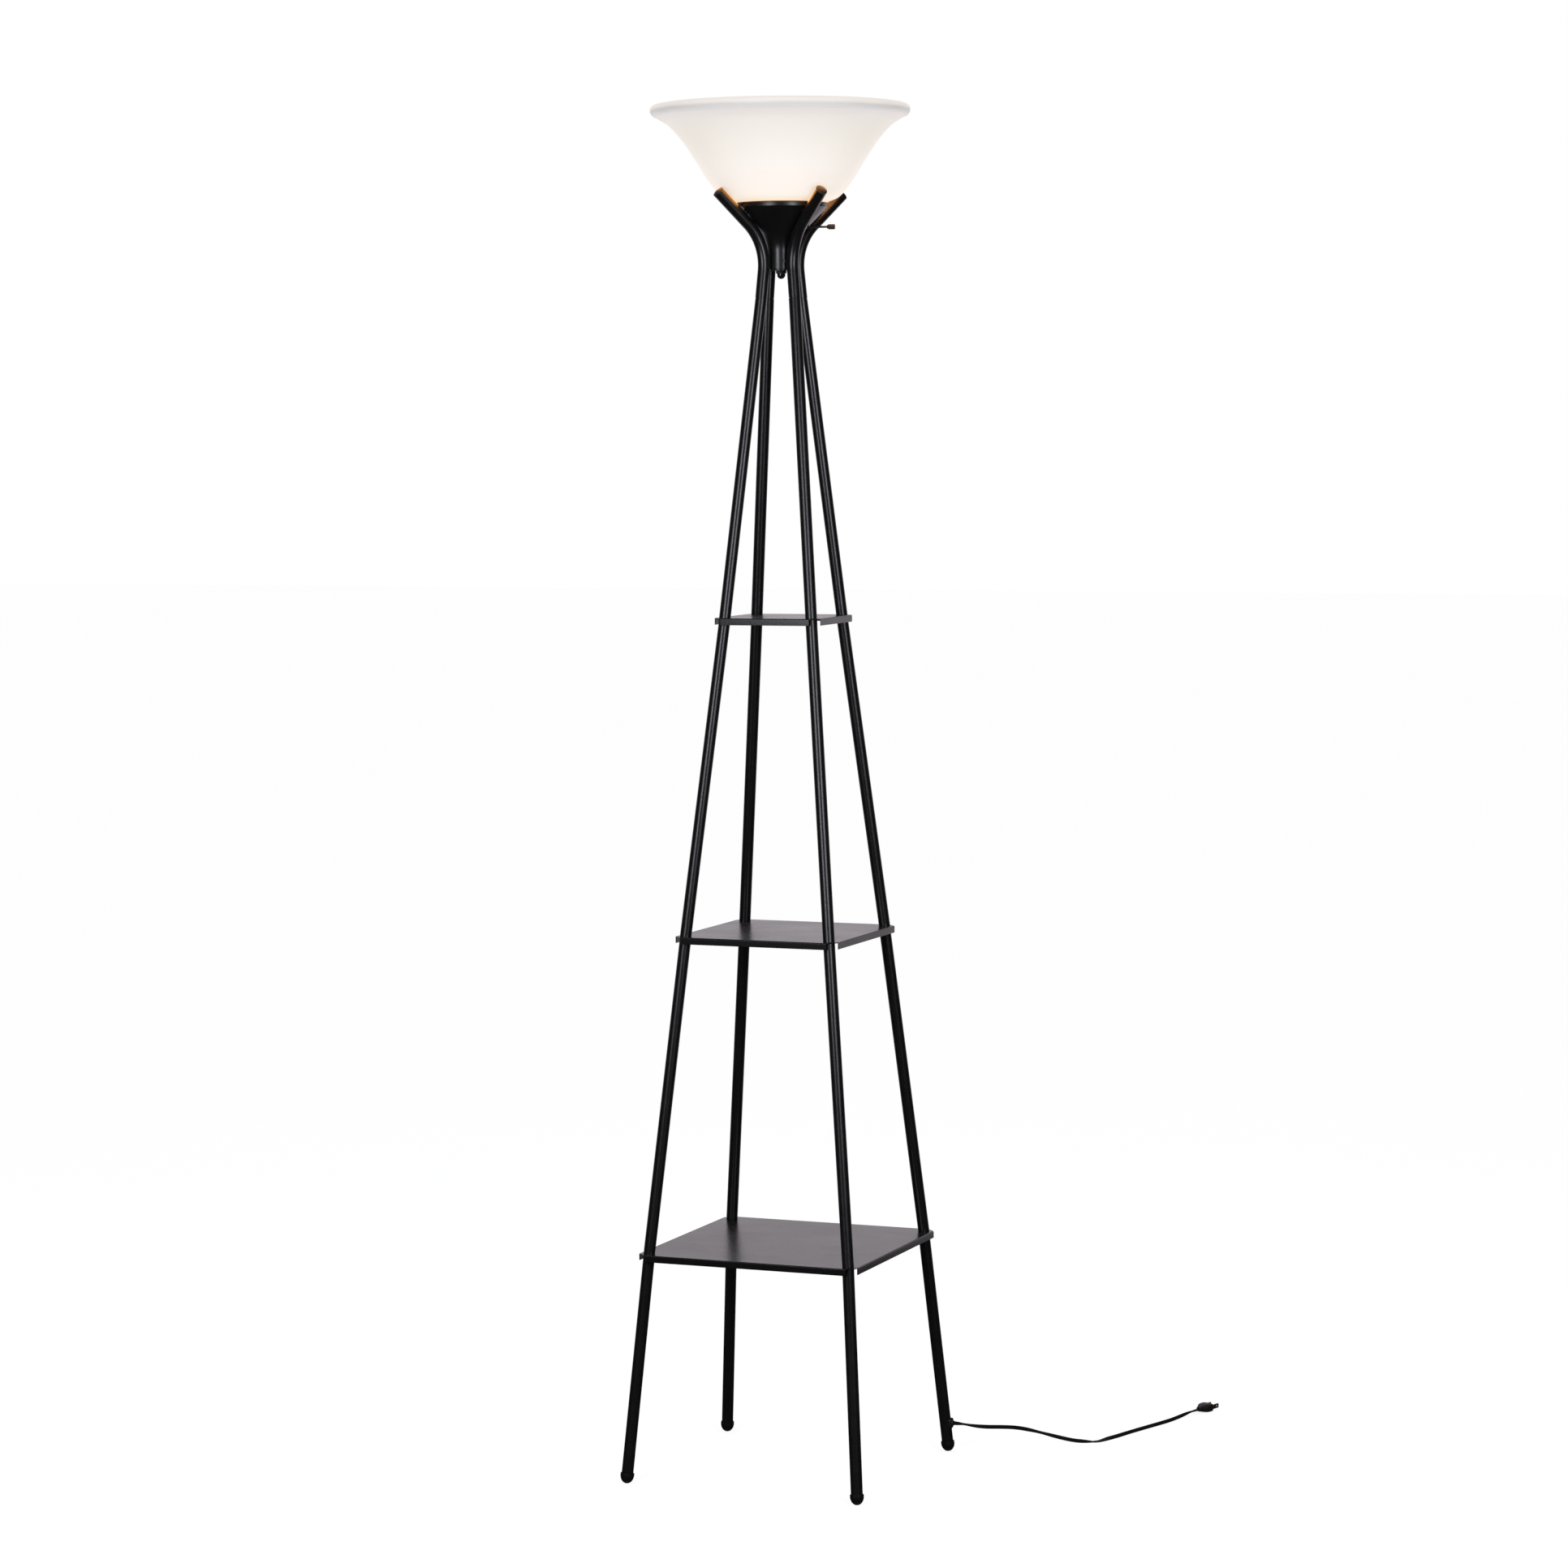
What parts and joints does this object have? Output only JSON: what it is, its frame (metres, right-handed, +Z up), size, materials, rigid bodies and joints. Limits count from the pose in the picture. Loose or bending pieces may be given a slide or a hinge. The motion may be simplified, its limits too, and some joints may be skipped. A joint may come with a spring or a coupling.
{
  "type": "shelf floor lamp",
  "caption": "Floor lamp of leaning tube legs with square sheet-metal shelves, curved arms, a trumpet cup and an upturned glass bowl shade.",
  "frame": {"origin": "on the floor, at the lamp's vertical axis", "axes": "+Z up, -Y is the front, X across it; the shelves' sides lie along X and Y except the top one, turned 2 degrees"},
  "size_m": [0.6123, 0.7093, 1.8029],
  "materials": {
    "black": "satin black powder coat",
    "black_hardware": "satin black fasteners",
    "spigot_steel": "dark zinc",
    "foot_rubber": "matt",
    "cap_plastic": "satin",
    "shade_glass": "frosted opal, lit from inside",
    "socket_brass": "satin",
    "socket_liner": "fibre sleeve",
    "switch_plastic": "moulded",
    "steel": "zinc plated",
    "knob_plastic": "ribbed",
    "bulb_glass": "frosted",
    "bulb_metal": "rolled thread",
    "lead_insulation": "smooth",
    "cord_vinyl": "satin vinyl",
    "blade_brass": "bright"
  },
  "bodies": {
    "stand": {"foot_front_left": "foot_rubber", "foot_front_right": "foot_rubber", "foot_back_right": "foot_rubber", "foot_back_left": "foot_rubber", "foot_tube_front_left": "black", "foot_tube_front_right": "black", "foot_tube_back_right": "black", "foot_tube_back_left": "black", "lower_tube_front_left": "black", "lower_tube_front_right": "black", "lower_tube_back_right": "black", "lower_tube_back_left": "black", "middle_tube_front_left": "black", "middle_tube_front_right": "black", "middle_tube_back_right": "black", "middle_tube_back_left": "black", "upper_tube_front_left": "black", "upper_tube_front_right": "black", "upper_tube_back_right": "black", "upper_tube_back_left": "black", "arm_front_left": "black", "arm_front_right": "black", "arm_back_right": "black", "arm_back_left": "black", "arm_end_caps": "cap_plastic", "bottom_shelf_spigots": "spigot_steel", "middle_shelf_spigots": "spigot_steel", "top_shelf_spigots": "spigot_steel", "arm_spigots": "spigot_steel", "bottom_shelf": "black", "middle_shelf": "black", "top_shelf": "black", "cup": "black", "cup_screws": "black_hardware", "cup_spacers": "black_hardware", "neck_set_screw": "black_hardware", "neck_washer": "black_hardware", "neck_nut": "black_hardware", "dome_nut": "black_hardware", "nipple": "steel", "inner_locknuts": "steel", "socket_cap": "socket_brass", "switch_body": "switch_plastic", "socket_sleeve": "socket_liner", "socket_shell": "socket_brass", "screw_shell": "bulb_metal", "centre_contact": "blade_brass", "inner_lead": "lead_insulation", "cord_bushing": "cap_plastic", "cord": "cord_vinyl", "plug_body": "cord_vinyl", "plug_blades": "blade_brass"},
    "shade": {"shade": "shade_glass"},
    "bulb": {"bulb_glass": "bulb_glass", "bulb_cap": "bulb_metal", "bulb_tip": "steel"},
    "switch": {"switch_rod": "black_hardware", "switch_knob": "knob_plastic"}
  },
  "joints": [
    {"name": "shade_lift", "type": "slide", "parent": "stand", "child": "shade", "axis": [0, 0, 1], "range_m": [0, 0.2]},
    {"name": "bulb_lift", "type": "slide", "parent": "stand", "child": "bulb", "axis": [0, 0, 1], "range_m": [0, 0.12]},
    {"name": "switch_turn", "type": "hinge", "parent": "stand", "child": "switch", "pos_m": [0, 0, 1.644], "axis": [0.9839, 0.1788, 0], "continuous": true}
  ]
}
